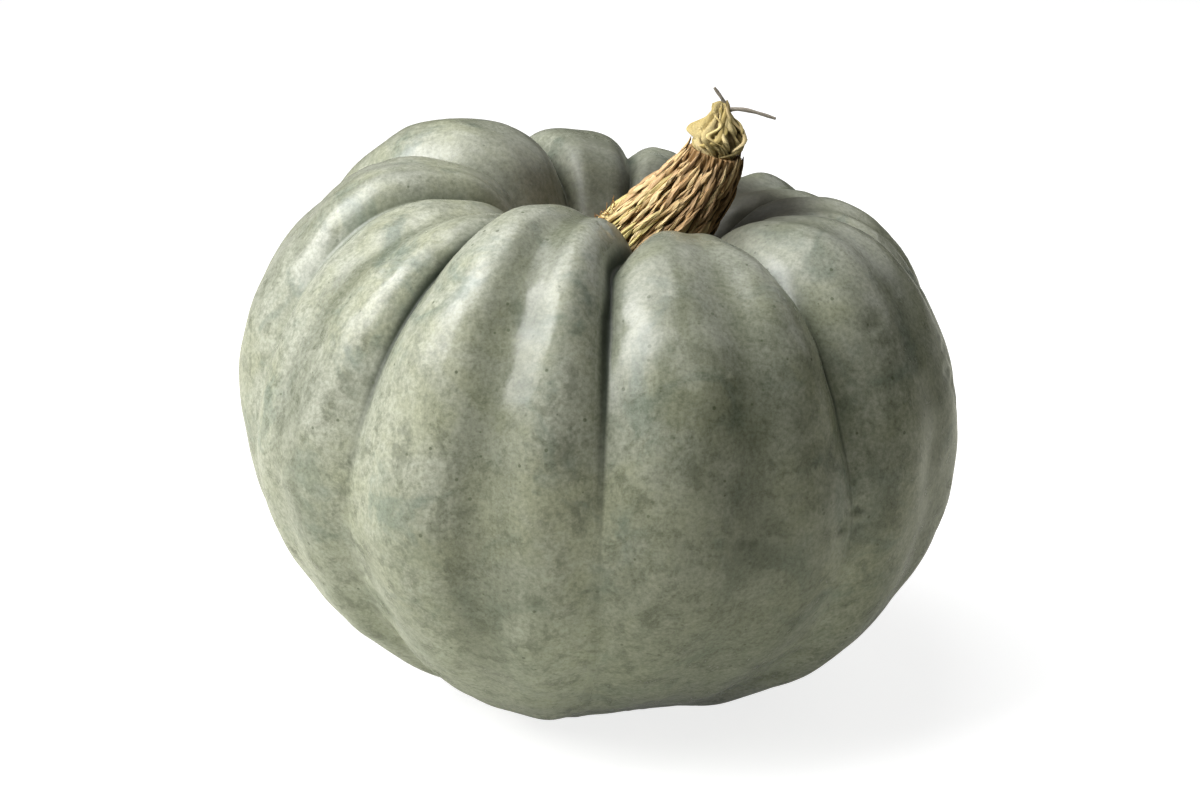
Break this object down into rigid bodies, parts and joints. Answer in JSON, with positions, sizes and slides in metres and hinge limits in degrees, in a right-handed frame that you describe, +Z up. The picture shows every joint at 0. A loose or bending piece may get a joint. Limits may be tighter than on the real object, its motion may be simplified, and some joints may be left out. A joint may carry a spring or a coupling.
{
  "type": "pumpkin",
  "caption": "Ribbed grey-green pumpkin, wider than tall, with a deep stem cavity and a dried corky stem that leans to one side and ends in torn fibres.",
  "frame": {"origin": "on the flat spot the fruit stands on, below the middle of its belly", "axes": "+Z up from the flat spot, +X towards the side the stem leans to, -Y towards the front"},
  "size_m": [0.2751, 0.2722, 0.2345],
  "materials": {
    "rind": "satin, waxy, mottled grey-green rind",
    "cork": "matt, dry, cracked bark in straw and tan",
    "fibre": "matt, dry, pale straw fibre"
  },
  "bodies": {
    "root": {"fruit": "rind", "stem": "cork", "stem_end": "fibre"}
  },
  "joints": []
}
